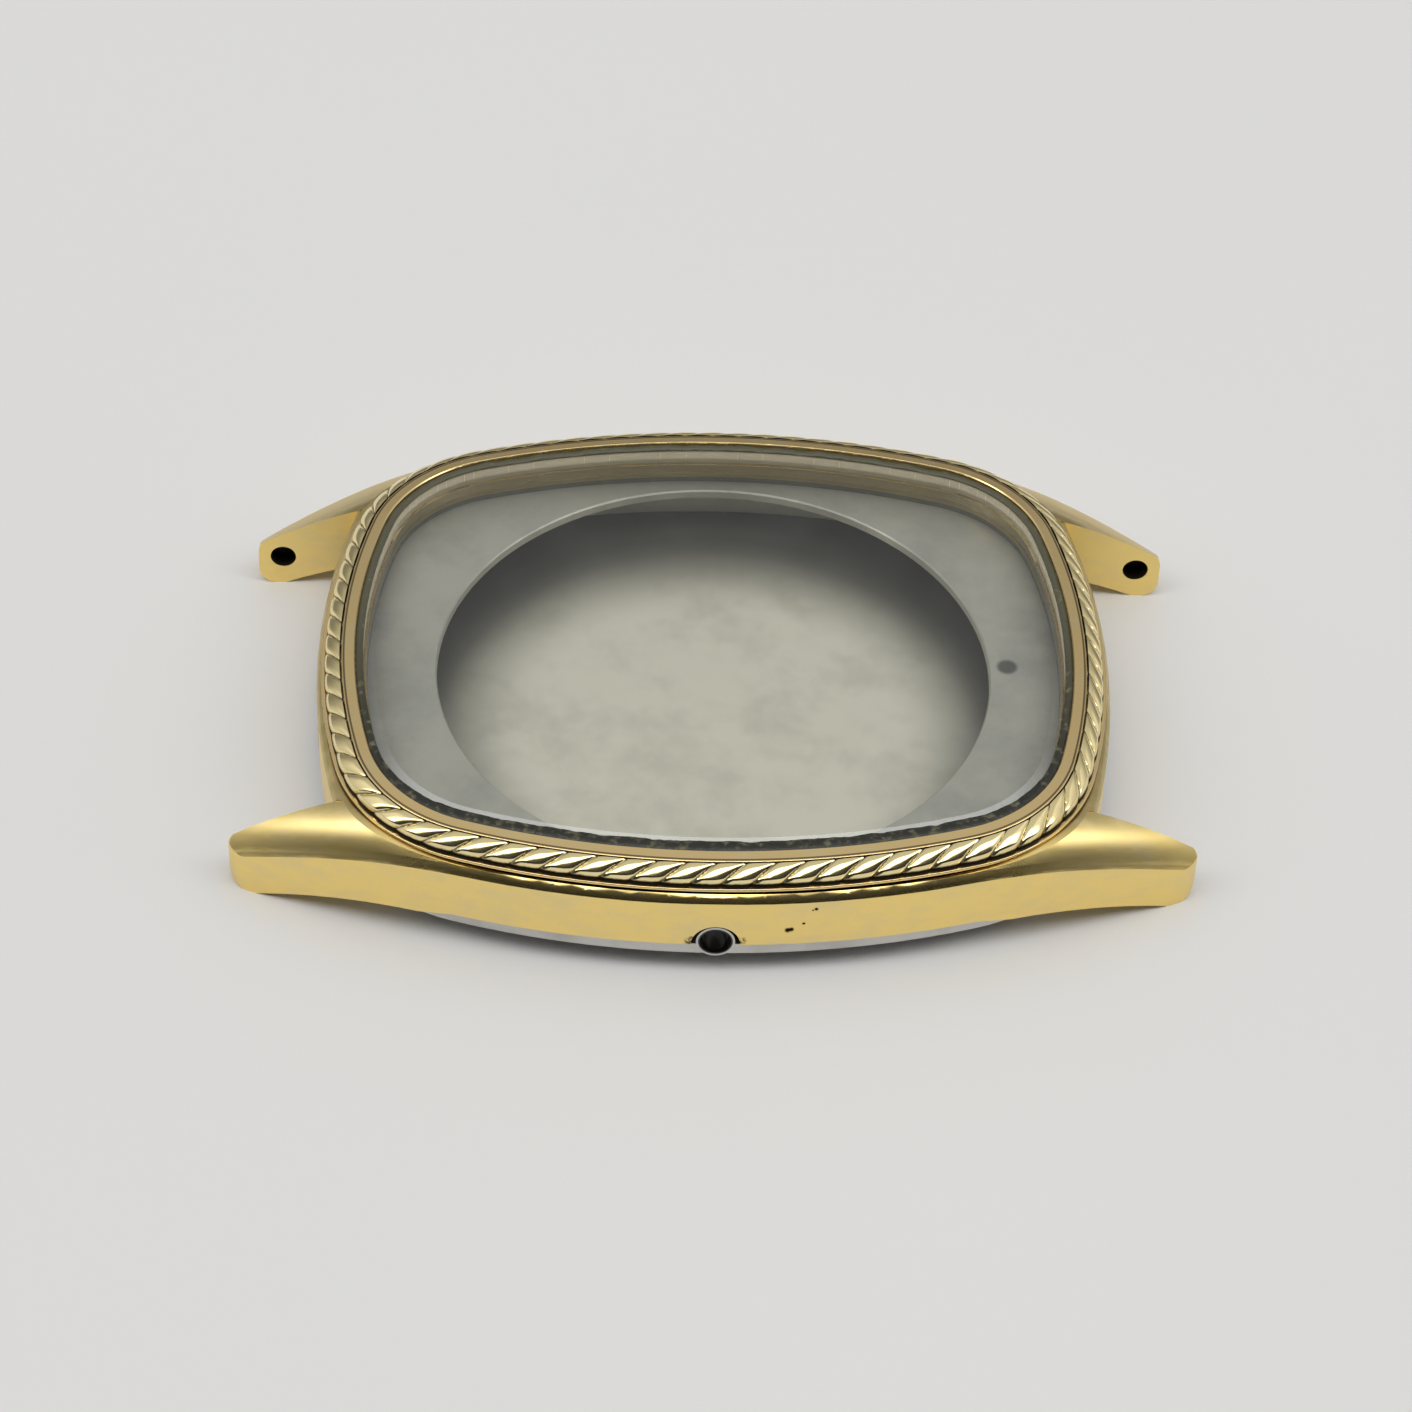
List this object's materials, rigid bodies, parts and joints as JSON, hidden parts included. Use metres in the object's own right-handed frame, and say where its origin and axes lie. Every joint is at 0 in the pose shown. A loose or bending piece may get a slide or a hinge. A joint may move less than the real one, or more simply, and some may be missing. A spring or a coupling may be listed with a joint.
{
  "type": "empty watch case",
  "caption": "Gold plated cushion-shaped watch case with a rope-edged bezel, flat crystal, steel cup back, stem tube and strap lugs, without a movement.",
  "frame": {"origin": "under the centre of the case, on the surface that its four lug tips rest on", "axes": "+X to the crown side (3 o'clock), +Y to 12 o'clock, +Z out through the crystal"},
  "size_m": [0.0286, 0.0392, 0.0053],
  "materials": {
    "gold_satin": "gold plated, satin sides and polished lug tops",
    "gold_polished": "gold plated, polished",
    "gold_rope": "gold plated, bright polished strands",
    "mineral_glass": "clear, flat, bevelled rim",
    "dark_seal": "matt, soiled",
    "grey_plate": "grey, matt, stained",
    "steel": "worn satin",
    "bright_steel": "polished"
  },
  "bodies": {
    "middle": {"case_middle": "gold_satin"},
    "bezel_assembly": {"bezel": "gold_polished", "rope_ring": "gold_rope", "crystal": "mineral_glass", "crystal_gasket": "dark_seal"},
    "back_assembly": {"case_back": "steel", "crown_tube": "bright_steel", "movement_ring": "grey_plate", "back_gasket": "dark_seal"}
  },
  "joints": [
    {"name": "bezel_release", "type": "slide", "parent": "middle", "child": "bezel_assembly", "axis": [0, 0, 1], "range_m": [0, 0.008]},
    {"name": "back_release", "type": "slide", "parent": "middle", "child": "back_assembly", "axis": [0, 0, -1], "range_m": [0, 0.01]}
  ]
}
